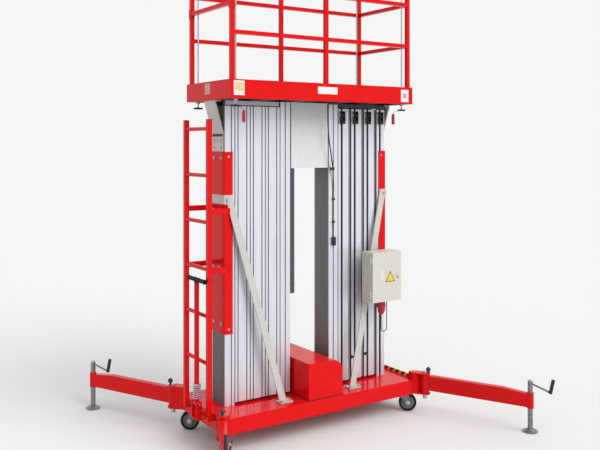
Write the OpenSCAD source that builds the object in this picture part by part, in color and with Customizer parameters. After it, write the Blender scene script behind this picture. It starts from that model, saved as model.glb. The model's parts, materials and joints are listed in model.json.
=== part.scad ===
// Twin-mast vertical lift: a push-around chassis on four casters with swing-out
// outriggers, two telescoping aluminium masts, and a guarded work platform.
// Millimetres, +Z up, +X towards the control box, -Y the side with the control box.
// The origin is on the floor under the middle of the machine.

/* [Chassis] */
// Length of the chassis tray
chassis_l = 1477; // [1440:1:1520]
// Width of the chassis tray
chassis_w = 585; // [570:1:600]
// Height of the tray's top over the floor
chassis_top = 220; // [216:1:235]
// Height of the tray's side band
chassis_band = 95; // [90:1:96]
// Sheet thickness of the tray
tray_wall = 5; // [3:0.5:6]
// Height of the upturned lip at the end by the control box
end_lip = 20; // [10:1:30]

/* [Casters] */
// Wheel diameter
wheel_d = 120; // [112:1:120]
// Width of the tread
wheel_w = 32; // [26:1:36]
// Distance from the swivel axis to the axle
trail = 44; // [36:1:44]
// Swivel axis inward from the tray's end
swivel_in_x = 73.5; // [73:0.5:100]
// Swivel axis inward from the tray's side
swivel_in_y = 74.5; // [74:0.5:95]
// Radius of the wheel's axle
axle_r = 6; // [5:0.5:8]
// Radius of the swivel's king pin
king_r = 8; // [6:0.5:10]

/* [Outriggers] */
// Hinge pin outward from the tray's end
pivot_out_x = 36.5; // [32:0.5:45]
// Hinge pin outward from the tray's side
pivot_out_y = 47.5; // [45:0.5:58]
// Hinge pin to jack post
arm_l = 710; // [640:1:715]
// Width of the arm's tube
arm_w = 40; // [34:1:44]
// Angle of the opened arm from the machine's length
arm_angle = 64; // [56:0.5:70]
// Radius of the hinge pin
pin_r = 11; // [9:0.5:13]
// Radius of the jack's post
post_r = 16; // [13:0.5:18]
// Radius of the jack's foot
foot_r = 47.5; // [40:0.5:50]
// Length of the jack's crank
crank_l = 142; // [136:1:146]

/* [Masts] */
// Clear width between the two masts
mast_gap = 300; // [290:2:320]
// Depth of a mast section, front to back
mast_d = 172; // [150:1:180]
// Pitch of the middle sections
section_pitch = 109; // [104:1:112]
// Width taken by the fixed outer section
outer_pitch = 72; // [68:1:80]
// Width taken by the innermost section
inner_pitch = 78; // [72:1:84]
// Gap between neighbouring sections
section_gap = 6; // [5:0.5:7]
// Wall of the aluminium sections
mast_wall = 4; // [3:0.5:5]
// Top of the sections over the floor
mast_top = 2060; // [1990:1:2075]
// Width of the chain groove down each section
groove_w = 17; // [15:0.5:19]
// Depth of the chain groove
groove_d = 18; // [12:0.5:18]

/* [Platform] */
// Length of the platform
deck_l = 1400; // [1360:1:1420]
// Width of the platform
deck_w = 590; // [570:1:610]
// Height of the platform's side band
deck_band_h = 114; // [90:1:150]
// Underside of the platform over the floor
deck_under = 2094; // [2090:1:2110]
// Sheet thickness of the band and the floor
deck_wall = 4; // [3:0.5:5]
// Top of the floor plate over the platform's underside
floor_h = 30; // [24:1:60]

/* [Guardrail] */
// Side of the square tube
tube = 25; // [20:1:30]
// Wall of the square tube
tube_wall = 2; // [1.5:0.5:3]
// Height from one rail to the next
rail_pitch = 280; // [260:1:285]
// Height of the top rail over the platform's band
rail_high = 1090; // [1060:1:1110]
// Height of the entrance bar over the platform's band
entrance_h = 452; // [430:1:470]
// Radius of the guardrail's locking rods
rod_r = 5; // [4:0.5:7]

/* [Power unit] */
// Width of the cover
cover_w = 260; // [220:1:270]
// Height of the cover
cover_h = 230; // [200:1:250]
// Radius of the cover's shoulder
cover_round = 80; // [40:1:100]
// Sheet thickness of the cover
cover_wall = 2.5; // [2:0.5:4]

/* [Control box] */
// Width of the box
box_w = 243; // [220:1:250]
// Depth of the box with its door
box_d = 115; // [100:1:125]
// Height of the box
box_h = 330; // [300:1:350]
// Underside of the box over the floor
box_under = 774; // [770:1:800]
// Thickness of the door
door_t = 16; // [12:1:20]
// Sheet thickness of the box
box_wall = 3; // [2:0.5:4]

/* [Ladder and tow handle] */
// Side of the ladder's square tube
ladder_tube = 28; // [24:1:30]
// Distance between the ladder's rails, centre to centre
ladder_w = 314; // [300:1:330]
// Height from rung to rung
rung_pitch = 280; // [260:1:285]
// Radius of the rungs
rung_r = 12; // [9:0.5:12]
// Length of the tow handle
handle_l = 740; // [600:1:760]
// Radius of the tow handle's tube
handle_r = 15; // [12:0.5:15]

/* [Hidden] */
$fn = 48;

// Clearances: a seat that only touches, a pin in its bore, a sliding guide, a free gap
seat = 0.3;
pin_play = 0.08;
slide_play = 0.3;
free_gap = 6;

chassis_under = chassis_top - chassis_band;
swivel_x = chassis_l / 2 - swivel_in_x;
swivel_y = chassis_w / 2 - swivel_in_y;
pivot_x = chassis_l / 2 + pivot_out_x;
pivot_y = chassis_w / 2 + pivot_out_y;
rib_pitch = chassis_l * 0.26;
rib_lift = 20;
wheel_r = wheel_d / 2;

// Caster pads hang in the tray's corners
pad_top = chassis_top - 49;
pad_t = 6;
fork_t = 5;
race_h = 14;
trail_angle = -35.5;

// Outrigger hinge: two ears on the tray, the arm's knuckle between them
ear_t = 10;
ear_r = 35;
ear_top = 272;
ear_low = 128;
knuckle_r = 28;
post_w = 38;
arm_start = ear_r + free_gap;
knob_angle = -arm_angle;
pin_tail = 32;
arm_top = 257;
arm_low = 158;
arm_tip = 240;
collar_r = post_r + 6;
knob_r = 16;
post_top = 320;
crank_dip = 13;
crank_r = 6;
grip_r = 11;
grip_l = 90;
crank_out = -14;
crank_in = 180;

// Room between the power unit and its cover
unit_gap = 30;

// Mast sections, counted from the fixed outer one inwards
outer_x = mast_gap / 2 + inner_pitch + 3 * section_pitch + outer_pitch;
edges = [
    outer_x,
    outer_x - outer_pitch,
    outer_x - outer_pitch - section_pitch,
    outer_x - outer_pitch - 2 * section_pitch,
    outer_x - outer_pitch - 3 * section_pitch,
    mast_gap / 2
];
lift_gap = 15;
chain_in = 28;
line_w = 8;
line_in = 22;
line_pitch = 62;
rebate_w = 20;
guide_y = mast_d / 2 - 34;
stem_w = 5;
head_w = 14;
head_t = 4;
chain_w = 12;
chain_t = 7;
pulley_r = 20;
pulley_w = 11;

// Bracing on the fixed sections
channel_low = 660;
channel_high = 1778;
channel_w = 52;
channel_t = 5;
stay_w = 45;
stay_t = 8;
stay_high = 1485;
strap_t = 6;
strap_h = 56;
stay_foot = [270, -190];
rest_w = 140;
rest_t = 6;
rest_low = 1890;
rest_reach = 58;

// Platform heights
band_top = deck_under + deck_band_h;
floor_top = deck_under + floor_h;
post_x = deck_l / 2 - tube;
post_y = deck_w / 2 - tube;
rail_levels = [for (i = [1:3]) band_top + i * rail_pitch, band_top + rail_high];
post_high = rail_levels[3] + tube / 2;
rod_x = deck_l / 2 - 60;
rod_y = post_y - tube / 2 - rod_r - 1;
entrance_z = band_top + entrance_h;
mast_joist = mast_gap / 2 + 10;
end_joist = outer_x + rest_reach - 25;
mid_joist = (mast_joist + end_joist) / 2;
joist_x = [-end_joist, -mid_joist, -mast_joist, mast_joist, mid_joist, end_joist];
joist_w = 60;

// Ladder and tow handle, at the end away from the control box
ladder_x = -768;
rung_low = 517;
rung_count = 6;
ladder_low = 300;
ladder_high = 1970;
ladder_ties = [1052, 1405];
tie_h = 34;
tie_t = 8;
tie_x = outer_x - section_gap / 2 + channel_t;
handle_x = -802;
handle_y = -61;
handle_pivot_z = 270;
handle_pin_r = 7;
cheek_r = 18;
cheek_y = 30;
tow_drop = 40;
grip_half = 110;

// Carriage between the masts
carriage_w = mast_gap - 2 * free_gap;
carriage_h = 425;
carriage_low = deck_under - carriage_h;
track_low = 860;
track_w = 60;
track_t = 27;

// Control box place
box_x = 374;
box_back = -160;
hinge_r = 5;
hinge_pin_r = 2.5;
hinge_x = box_x - hinge_r - 0.5;
hinge_y = box_back - box_d + door_t;
hinge_h = 36;
hinge_z = [box_under + 50, box_under + box_h - 50];

// The control cable's route, from the platform down the last section
cable_r = 4;
cable_route = [
    [100, -150, 2088], [100, -150, 2050], [101, -149, 1990], [106, -146, 1920], [118, -139, 1850],
    [136, -129, 1785], [155, -117, 1720], [172, -105, 1660], [182, -96, 1600], [186, -91.5, 1540],
    [186, -90.3, 1480], [186, -90.3, 1420], [186, -90.3, 1370], [186, -90.3, 1200]
];

function unit(v) = v / norm(v);

// Puts a shape made for the front right corner at another corner
module at_corner(sx, sy) {
    mirror([sx < 0 ? 1 : 0, 0, 0]) mirror([0, sy > 0 ? 1 : 0, 0]) children();
}

module box_from(low, high) {
    translate(low) cube(high - low);
}

// A hollow square tube along Z
module square_tube(side, wall, l) {
    linear_extrude(l) difference() {
        square(side, center = true);
        square(side - 2 * wall, center = true);
    }
}

module chassis() color("red") {
    difference() {
        union() {
            difference() {
                box_from([-chassis_l / 2, -chassis_w / 2, chassis_under],
                    [chassis_l / 2, chassis_w / 2, chassis_top]);
                box_from([-chassis_l / 2 + tray_wall, -chassis_w / 2 + tray_wall, chassis_under - 1],
                    [chassis_l / 2 - tray_wall, chassis_w / 2 - tray_wall, chassis_top - tray_wall]);
            }
            for (sx = [-1, 1]) for (sy = [-1, 1]) at_corner(sx, sy) {
                caster_pad();
            }
            for (x = [-rib_pitch, 0, rib_pitch]) chassis_rib(x);
            box_from([chassis_l / 2 - tray_wall, -chassis_w / 2, chassis_top],
                [chassis_l / 2, chassis_w / 2, chassis_top + end_lip]);
        }
        for (sx = [-1, 1]) for (sy = [-1, 1]) at_corner(sx, sy) {
            translate([swivel_x, -swivel_y, 0]) cylinder(r = king_r + pin_play, h = chassis_top - tray_wall - 1);
            box_from([chassis_l / 2 - post_w, -chassis_w / 2 - 1, chassis_under - 1],
                [chassis_l / 2 + 1, -chassis_w / 2 + post_w, chassis_top + end_lip + 1]);
        }
    }
}

// The plate in the tray's corner that the caster bolts to
module caster_pad() {
    box_from([swivel_x - 60, -chassis_w / 2 + tray_wall, pad_top - pad_t],
        [chassis_l / 2 - tray_wall, -swivel_y + 60, pad_top]);
    box_from([swivel_x - 60, -chassis_w / 2 + tray_wall, pad_top],
        [swivel_x - 60 + tray_wall, -swivel_y + 60, chassis_top - tray_wall]);
}

// Posts in the tray's corners, each with two round-nosed ears that hold an arm's hinge pin
module corner_posts() color("red") {
    for (sx = [-1, 1]) for (sy = [-1, 1]) at_corner(sx, sy) difference() {
        outrigger_ears();
        translate([pivot_x, -pivot_y, ear_low - 1]) cylinder(r = pin_r + pin_play, h = ear_top - ear_low + 2);
    }
}

module outrigger_ears() {
    in_x = chassis_l / 2 - post_w;
    in_y = -chassis_w / 2 + post_w;
    box_from([in_x, -chassis_w / 2, chassis_under], [chassis_l / 2, in_y, ear_top]);
    for (z = [ear_low, ear_top - ear_t]) translate([0, 0, z]) linear_extrude(ear_t) {
        translate([pivot_x, -pivot_y]) circle(r = ear_r);
        ear_root();
    }
    // The web between the ears stays clear of the folded arm and of the arm's knuckle
    translate([0, 0, ear_low]) linear_extrude(ear_top - ear_low) difference() {
        ear_root();
        translate([pivot_x, -pivot_y]) circle(r = knuckle_r + free_gap);
        translate([in_x - arm_l, -pivot_y - 2 * arm_w]) square([2 * arm_l, 2.5 * arm_w + free_gap]);
    }
}

module ear_root() {
    in_x = chassis_l / 2 - post_w;
    in_y = -chassis_w / 2 + post_w;
    polygon([
        [pivot_x + ear_r * 0.8, -pivot_y + ear_r * 0.6], [pivot_x - ear_r * 0.8, -pivot_y - ear_r * 0.6],
        [in_x, -chassis_w / 2], [in_x, in_y], [chassis_l / 2, in_y]
    ]);
}

module chassis_rib(x) {
    box_from([x - tray_wall / 2, -chassis_w / 2 + tray_wall, chassis_under + rib_lift],
        [x + tray_wall / 2, chassis_w / 2 - tray_wall, chassis_top - tray_wall]);
}

// Two cheeks on the tray's end, with the tow handle's pin between them
module tow_bracket() color("red") {
    foot_z = chassis_top - tow_drop;
    difference() {
        union() {
            box_from([handle_x - cheek_r - 4, handle_y - cheek_y - 20, foot_z], [-chassis_l / 2, handle_y + cheek_y + 20, foot_z + 8]);
            for (s = [-1, 1]) translate([handle_x, handle_y + s * cheek_y, 0]) {
                translate([-cheek_r, -3, foot_z + 4]) cube([2 * cheek_r, 6, handle_pivot_z - foot_z - 4]);
                translate([0, 0, handle_pivot_z]) rotate([90, 0, 0]) cylinder(r = cheek_r, h = 6, center = true);
            }
        }
        translate([handle_x, handle_y, handle_pivot_z]) rotate([90, 0, 0])
            cylinder(r = handle_pin_r + pin_play, h = 4 * cheek_y, center = true);
    }
}

module hinge_pins() color("silver") {
    for (sx = [-1, 1]) for (sy = [-1, 1]) at_corner(sx, sy) translate([pivot_x, -pivot_y, 0]) {
        translate([0, 0, ear_low - pin_tail]) cylinder(r = pin_r, h = ear_top - ear_low + pin_tail + 2);
        translate([0, 0, ear_top]) cylinder(r = pin_r + 5, h = 8);
        translate([0, 0, ear_low - pin_tail + 4]) cylinder(r = pin_r + 4, h = pin_tail - 4);
    }
    translate([handle_x, handle_y, handle_pivot_z]) rotate([90, 0, 0])
        cylinder(r = handle_pin_r, h = 2 * cheek_y + 24, center = true);
}

// Ball-headed lock plungers on the upper ears
module lock_knobs() color("black") {
    for (sx = [-1, 1]) for (sy = [-1, 1]) at_corner(sx, sy) translate([pivot_x, -pivot_y, ear_top])
        rotate([0, 0, knob_angle]) translate([ear_r - 12, 0, 0]) {
            cylinder(r = 6, h = 14);
            translate([0, 0, 24]) sphere(r = knob_r);
        }
}

// Motor, pump and tank as one plain block inside the cover
module power_unit() color("dimgray") {
    box_from([-cover_w / 2 + unit_gap, -chassis_w / 2 + 3 * unit_gap, chassis_top],
        [cover_w / 2 - cover_round, chassis_w / 2 - 3 * unit_gap, chassis_top + cover_h - unit_gap]);
}

module cover_outline(inset) {
    w = cover_w / 2 - inset;
    r = cover_round - inset;
    h = cover_h - inset;
    translate([-w, 0]) square([2 * w - r, h]);
    translate([-w, 0]) square([2 * w, h - r]);
    translate([w - r, h - r]) circle(r = r);
}

module power_unit_cover() color("red") {
    l = chassis_w - 25;
    translate([-5, 0, chassis_top]) rotate([90, 0, 0]) difference() {
        linear_extrude(l, center = true) cover_outline(0);
        translate([0, -1, 0]) linear_extrude(l - 2 * cover_wall, center = true) cover_outline(cover_wall);
    }
}

// Plan of one mast section: hollow, with a chain groove in front, narrow grooves at the
// back, guide slots facing inwards and guide tongues facing outwards
module section_plan(w, tongues, slots) {
    slot_w = head_w + 2 * slide_play;
    slot_d = mast_wall + head_t + 2 * slide_play;
    middle = w > inner_pitch;
    // Grooves: place from the inner edge, width, side, depth
    grooves = concat(
        slots ? [[chain_in, groove_w, -1, groove_d]] : [[w / 2, line_w, -1, line_w]],
        slots ? [[line_in, line_w, 1, line_w]] : [[w / 2, line_w, 1, line_w]],
        middle ? [[line_in + line_pitch, line_w, 1, line_w]] : []);
    difference() {
        union() {
            difference() {
                square([w, mast_d], center = true);
                difference() {
                    square([w - 2 * mast_wall, mast_d - 2 * mast_wall], center = true);
                    for (g = grooves) translate([-w / 2 + g[0], g[2] * mast_d / 2])
                        square([g[1] + 2 * mast_wall, 2 * (g[3] + mast_wall)], center = true);
                    if (middle) translate([w / 2, -mast_d / 2])
                        square([2 * (rebate_w + mast_wall), 2 * (rebate_w / 2 + mast_wall)], center = true);
                    if (slots) for (s = [-1, 1]) translate([-w / 2, s * guide_y])
                        square([2 * (slot_d + mast_wall), slot_w + 2 * mast_wall], center = true);
                }
            }
            if (tongues) for (s = [-1, 1]) translate([w / 2, s * guide_y]) {
                translate([-1, -stem_w / 2]) square([section_gap + mast_wall + slide_play + 2, stem_w]);
                translate([section_gap + mast_wall + slide_play, -head_w / 2]) square([head_t, head_w]);
            }
        }
        for (g = grooves) translate([-w / 2 + g[0], g[2] * mast_d / 2]) square([g[1], 2 * g[3]], center = true);
        if (middle) translate([w / 2, -mast_d / 2]) square([2 * rebate_w, rebate_w], center = true);
        if (slots) for (s = [-1, 1]) translate([-w / 2, s * guide_y]) {
            square([2 * (mast_wall + 1), stem_w + 2 * slide_play], center = true);
            translate([mast_wall, -slot_w / 2]) square([head_t + 2 * slide_play, slot_w]);
        }
    }
}

function section_low(k) = k == 1 ? chassis_top : chassis_top + lift_gap;
function section_mid(k) = (edges[k - 1] + edges[k]) / 2;
function section_w(k) = edges[k - 1] - edges[k] - section_gap;
function chain_x(k) = edges[k] + section_gap / 2 + chain_in;

module mast_section(k, top) {
    low = section_low(k);
    translate([section_mid(k), 0, low]) linear_extrude(top - low)
        section_plan(section_w(k), k > 1, k < 5);
}

// The lifting chain in a section's groove, with its sheave between two cheeks at the top
module mast_chain(k) {
    face = -mast_d / 2;
    back = face + groove_d;
    axle_z = mast_top - 2 * pulley_r;
    axle_y = face - 4;
    cheek_x = groove_w / 2 + 1;
    translate([chain_x(k), 0, 0]) {
        box_from([-chain_w / 2, back - chain_t, section_low(k) + 60], [chain_w / 2, back, axle_z]);
        translate([0, axle_y, axle_z]) rotate([0, 90, 0]) {
            cylinder(r = pulley_r, h = pulley_w, center = true);
            cylinder(r = 4, h = 2 * cheek_x + 14, center = true);
        }
        for (s = [0, 1]) mirror([s, 0, 0]) translate([cheek_x, 0, 0])
            box_from([0, face - pulley_r - 2, axle_z - 3 * pulley_r], [6, face, axle_z + pulley_r + 5]);
        box_from([-cheek_x - 3, face - pulley_r - 2, axle_z - 3 * pulley_r], [cheek_x + 3, face, axle_z - 2 * pulley_r]);
    }
}

module on_left() rotate([0, 0, 180]) children();

module mast_right_1() color("lightgray") mast_section(1, mast_top);
module mast_right_2() color("lightgray") mast_section(2, mast_top);
module mast_right_3() color("lightgray") mast_section(3, mast_top);
module mast_right_4() color("lightgray") mast_section(4, mast_top);
module mast_right_5() color("lightgray") mast_section(5, deck_under - free_gap);
module mast_left_1() color("lightgray") on_left() mast_section(1, mast_top);
module mast_left_2() color("lightgray") on_left() mast_section(2, mast_top);
module mast_left_3() color("lightgray") on_left() mast_section(3, mast_top);
module mast_left_4() color("lightgray") on_left() mast_section(4, mast_top);
module mast_left_5() color("lightgray") on_left() mast_section(5, deck_under);
module chain_right_1() color("black") mast_chain(1);
module chain_right_2() color("black") mast_chain(2);
module chain_right_3() color("black") mast_chain(3);
module chain_right_4() color("black") mast_chain(4);
module chain_left_1() color("black") on_left() mast_chain(1);
module chain_left_2() color("black") on_left() mast_chain(2);
module chain_left_3() color("black") on_left() mast_chain(3);
module chain_left_4() color("black") on_left() mast_chain(4);

// A U-shaped channel round the outer end of each fixed section
module mast_channels() color("red") {
    x1 = outer_x - section_gap / 2;
    for (s = [0, 180]) rotate([0, 0, s]) difference() {
        translate([0, 0, channel_low]) linear_extrude(channel_high - channel_low) difference() {
            translate([x1 - channel_w, -mast_d / 2 - channel_t])
                square([channel_w + channel_t, mast_d + 2 * channel_t]);
            translate([x1 - channel_w - 1, -mast_d / 2]) square([channel_w + 1, mast_d]);
        }
        for (z = [channel_low + 30, channel_high - 30]) translate([x1 - channel_w / 2, 0, z])
            rotate([90, 0, 0]) cylinder(r = 8, h = mast_d + 40, center = true);
    }
}

// Flat stays from the channels down to the tray, two to a mast
module mast_stays() color("antiquewhite") {
    top_x = outer_x - section_gap / 2 - channel_w / 2;
    y1 = mast_d / 2 + channel_t;
    high = [top_x, -y1 - stay_t / 2, stay_high];
    low = [stay_foot[0], stay_foot[1], chassis_top];
    l = norm(high - low);
    lean = atan2(high[0] - low[0], high[2] - low[2]);
    tilt = -asin((high[1] - low[1]) / l);
    for (sx = [-1, 1]) for (sy = [-1, 1]) at_corner(sx, sy) {
        difference() {
            translate(low) rotate([0, lean, 0]) rotate([tilt, 0, 0])
                translate([-stay_w / 2, -stay_t / 2, -20]) cube([stay_w, stay_t, l + 42]);
            box_from([0, -chassis_w, 0], [2 * outer_x, y1, chassis_top]);
            box_from([0, -y1, 0], [2 * outer_x, y1, 2 * stay_high]);
        }
        box_from([stay_foot[0] - 50, stay_foot[1] - 40, chassis_top], [stay_foot[0] + 40, stay_foot[1] + 20, chassis_top + 8]);
    }
    for (s = [0, 180]) rotate([0, 0, s]) translate([0, 0, stay_high - strap_h / 2]) linear_extrude(strap_h) difference() {
        translate([top_x - stay_w / 2, -y1 - strap_t])
            square([channel_w / 2 + channel_t + stay_w / 2 + strap_t, 2 * (y1 + strap_t)]);
        translate([top_x - stay_w / 2 - 1, -y1])
            square([channel_w / 2 + channel_t + stay_w / 2 + 1, 2 * y1]);
    }
}

// Sloping plates on the fixed sections that the lowered platform settles on
module deck_rests() color("antiquewhite") {
    x1 = outer_x - section_gap / 2;
    high = deck_under - seat;
    for (s = [0, 180]) rotate([0, 0, s]) translate([0, rest_w / 2, 0]) rotate([90, 0, 0])
        linear_extrude(rest_w) polygon([
            [x1, rest_low - 60], [x1 + rest_t, rest_low - 60], [x1 + rest_t, rest_low],
            [x1 + rest_reach + rest_t, high - rest_t], [x1 + rest_reach + rest_t, high],
            [x1 + rest_reach - 40, high], [x1 + rest_reach - 40, high - rest_t],
            [x1 + rest_reach - 4, high - rest_t], [x1, rest_low + 8]
        ]);
}

module control_box() color("antiquewhite") {
    front = box_back - box_d + door_t + seat;
    difference() {
        box_from([box_x, front, box_under], [box_x + box_w, box_back, box_under + box_h]);
        box_from([box_x + box_wall, front - 1, box_under + box_wall],
            [box_x + box_w - box_wall, box_back - box_wall, box_under + box_h - box_wall]);
    }
    bracket_x = outer_x - section_gap / 2 - channel_w + 5;
    for (z = [box_under + 40, box_under + box_h - 70])
        box_from([bracket_x, box_back, z], [box_x + box_w, -mast_d / 2 - channel_t, z + 30]);
    for (z = hinge_z) translate([hinge_x, hinge_y, z]) {
        cylinder(r = hinge_pin_r, h = hinge_h + 10, center = true);
        for (s = [-1, 1]) translate([0, 0, s * (hinge_h / 2 + 5)]) {
            cylinder(r = hinge_r, h = 9, center = true);
            translate([0, seat, -4.5]) cube([box_x - hinge_x, 9, 9]);
        }
    }
}

module control_box_door() color("antiquewhite") {
    front = box_back - box_d;
    difference() {
        box_from([box_x, front, box_under], [box_x + box_w, front + door_t, box_under + box_h]);
        box_from([box_x + 12, front + box_wall, box_under + 12],
            [box_x + box_w - 12, front + door_t + 1, box_under + box_h - 12]);
    }
    translate([box_x + box_w - 26, front - 6, box_under + box_h / 2]) rotate([90, 0, 0])
        cylinder(r = 10, h = 12, center = true);
    for (z = hinge_z) translate([hinge_x, hinge_y, z]) difference() {
        union() {
            cylinder(r = hinge_r, h = hinge_h, center = true);
            translate([0, -door_t + 4, -hinge_h / 2]) cube([box_x - hinge_x, door_t - 5, hinge_h]);
        }
        cylinder(r = hinge_pin_r + pin_play, h = hinge_h + 2, center = true);
    }
}

module ladder_rails() color("red") {
    for (s = [-1, 1]) {
        translate([ladder_x, s * ladder_w / 2, ladder_low])
            square_tube(ladder_tube, tube_wall, ladder_high - ladder_low);
        for (z = ladder_ties) {
            box_from([ladder_x + ladder_tube / 2, s * ladder_w / 2 - tie_t / 2, z],
                [-tie_x, s * ladder_w / 2 + tie_t / 2, z + tie_h]);
            box_from([-tie_x - tie_t, min(0, s * (ladder_w / 2 + tie_t)), z],
                [-tie_x, max(0, s * (ladder_w / 2 + tie_t)), z + tie_h]);
        }
        box_from([ladder_x - ladder_tube / 2, s * ladder_w / 2 - 14, chassis_top - 40],
            [-chassis_l / 2, s * ladder_w / 2 + 14, chassis_top - 34]);
        box_from([ladder_x - ladder_tube / 2, s * ladder_w / 2 - 14, chassis_top - 40],
            [ladder_x + ladder_tube / 2, s * ladder_w / 2 + 14, ladder_low]);
    }
}

module ladder_rungs() color("red") {
    for (i = [0:rung_count - 1]) translate([ladder_x, 0, rung_low + i * rung_pitch]) rotate([90, 0, 0])
        cylinder(r = rung_r, h = ladder_w - ladder_tube, center = true);
}

module tow_handle() color("red") {
    translate([handle_x, handle_y, handle_pivot_z]) {
        difference() {
            union() {
                rotate([90, 0, 0]) cylinder(r = 17, h = 40, center = true);
                cylinder(r = handle_r, h = handle_l);
            }
            rotate([90, 0, 0]) cylinder(r = handle_pin_r + pin_play, h = 60, center = true);
        }
        translate([0, 0, handle_l]) rotate([90, 0, 0]) cylinder(r = handle_r - 2, h = 2 * grip_half, center = true);
    }
}

module deck_band() color("red") {
    x1 = deck_l / 2;
    y1 = deck_w / 2;
    for (s = [-1, 1]) {
        translate([0, s * (y1 - deck_wall / 2), (deck_under + band_top) / 2])
            cube([deck_l, deck_wall, deck_band_h], center = true);
        translate([s * (x1 - deck_wall / 2), 0, (deck_under + band_top) / 2])
            cube([deck_wall, deck_w - 2 * deck_wall - seat, deck_band_h], center = true);
    }
}

// Floor plate on joists: the end ones rest on the masts' brackets, the middle ones carry the masts
module deck_floor() color("dimgray") {
    x1 = deck_l / 2 - deck_wall;
    y1 = deck_w / 2 - deck_wall;
    difference() {
        union() {
            box_from([-x1, -y1, floor_top - deck_wall], [x1, y1, floor_top]);
            for (x = joist_x) box_from([x - joist_w / 2, -y1, deck_under], [x + joist_w / 2, y1, floor_top - deck_wall]);
        }
        for (sx = [-1, 1]) for (sy = [-1, 1]) translate([sx * rod_x, sy * rod_y, deck_under - 1])
            cylinder(r = rod_r, h = floor_h + 2);
    }
}

module guard_posts() color("red") {
    for (x = [-post_x, 0, post_x]) for (s = [-1, 1]) translate([x, s * post_y, floor_top])
        square_tube(tube, tube_wall, post_high - floor_top);
}

module guard_rails() color("red") {
    for (z = rail_levels) {
        for (s = [-1, 1]) for (b = [-1, 1])
            translate([b * post_x / 2, s * post_y, z]) rotate([0, 90, 0])
                translate([0, 0, -(post_x - tube) / 2]) square_tube(tube, tube_wall, post_x - tube);
        translate([post_x, 0, z]) rotate([90, 0, 0])
            translate([0, 0, -(2 * post_y - tube) / 2]) square_tube(tube, tube_wall, 2 * post_y - tube);
    }
    translate([-post_x, 0, rail_levels[3]]) rotate([90, 0, 0])
        translate([0, 0, -(2 * post_y - tube) / 2]) square_tube(tube, tube_wall, 2 * post_y - tube);
}

// The bar across the entrance, with a shoe at each end that slides up its post
module entrance_bar() color("red") {
    inner = tube / 2 + slide_play;
    shoe_x = -post_x + tube / 2 - 3;
    translate([-post_x, 0, entrance_z]) rotate([90, 0, 0])
        translate([0, 0, -post_y + inner + 2]) square_tube(tube, tube_wall, 2 * (post_y - inner - 2));
    for (s = [-1, 1]) difference() {
        box_from([-post_x - inner - 3, s * post_y - inner - 3, entrance_z - 30],
            [shoe_x, s * post_y + inner + 3, entrance_z + 30]);
        box_from([-post_x - inner, s * post_y - inner, entrance_z - 31],
            [shoe_x + 1, s * post_y + inner, entrance_z + 31]);
    }
}

module lock_rods() color("silver") {
    for (sx = [-1, 1]) for (sy = [-1, 1]) translate([sx * rod_x, sy * rod_y, 0]) {
        translate([0, 0, deck_under - 45]) cylinder(r = rod_r, h = post_high - deck_under + 20);
        translate([0, 0, deck_under - 40]) rotate([0, 90, 0]) cylinder(r = 6, h = 60, center = true);
    }
}

module carriage_cover() color("antiquewhite") {
    y1 = mast_d / 2;
    difference() {
        box_from([-carriage_w / 2, -y1, carriage_low], [carriage_w / 2, y1, deck_under]);
        box_from([-carriage_w / 2 + 3, -y1 + 3, carriage_low - 1], [carriage_w / 2 - 3, y1 - 3, deck_under - 3]);
    }
}

module carriage_track() color("dimgray") {
    x1 = -carriage_w / 2 + 3;
    difference() {
        box_from([x1, -track_w / 2, track_low], [x1 + track_t, track_w / 2, deck_under - 3]);
        box_from([x1 + 4, -track_w / 2 + 4, track_low - 1], [x1 + track_t + 1, track_w / 2 - 4, deck_under]);
    }
}

module platform_controls() color("gold") {
    x1 = post_x - tube / 2;
    box_from([x1 - 90, -80, rail_levels[2] + 20], [x1, 80, rail_levels[3] - tube]);
    box_from([x1 - 8, -60, rail_levels[2] - 5], [x1, 60, rail_levels[3] + 5]);
}

// A round tube swept along the points of a route
module swept_tube(route, r, sides) {
    n = len(route);
    function heading(i) = unit(route[min(i + 1, n - 1)] - route[max(i - 1, 0)]);
    function across(i) = unit(cross(heading(i), [0, 1, 0.001]));
    function ring(i) = [for (a = [0:sides - 1]) let (u = across(i), v = cross(heading(i), u))
        route[i] + r * (cos(a * 360 / sides) * u + sin(a * 360 / sides) * v)];
    points = [for (i = [0:n - 1]) each ring(i)];
    side_faces = [for (i = [0:n - 2]) for (a = [0:sides - 1])
        [i * sides + a, i * sides + (a + 1) % sides, (i + 1) * sides + (a + 1) % sides, (i + 1) * sides + a]];
    start_face = [[for (a = [sides - 1:-1:0]) a]];
    end_face = [[for (a = [0:sides - 1]) (n - 1) * sides + a]];
    polyhedron(points, concat(side_faces, start_face, end_face));
}

module control_cable() color("black") swept_tube(cable_route, cable_r, 8);

// One outrigger, made for the front right corner, lying along +X from its hinge
module along_arm() {
    translate([pivot_x, -pivot_y, 0]) rotate([0, 0, -arm_angle]) children();
}

module arm_side() {
    polygon([[arm_start, arm_low], [arm_l, arm_low], [arm_l, arm_tip], [arm_l * 0.75, arm_top], [arm_start, arm_top]]);
}

module outrigger_arm() color("red") along_arm() {
    difference() {
        union() {
            translate([0, arm_w / 2, 0]) rotate([90, 0, 0]) linear_extrude(arm_w) arm_side();
            box_from([0, -arm_w / 2, arm_low], [arm_start + 1, arm_w / 2, arm_top - 3]);
            translate([0, 0, ear_low + ear_t + seat]) cylinder(r = knuckle_r, h = ear_top - ear_low - 2 * ear_t - 2 * seat);
            translate([arm_l, 0, arm_low - 8]) cylinder(r = collar_r, h = arm_tip - arm_low + 18);
        }
        translate([0, 0, ear_low]) cylinder(r = pin_r + pin_play, h = ear_top - ear_low);
        translate([arm_l, 0, 100]) cylinder(r = post_r + pin_play, h = 200);
    }
}

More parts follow.
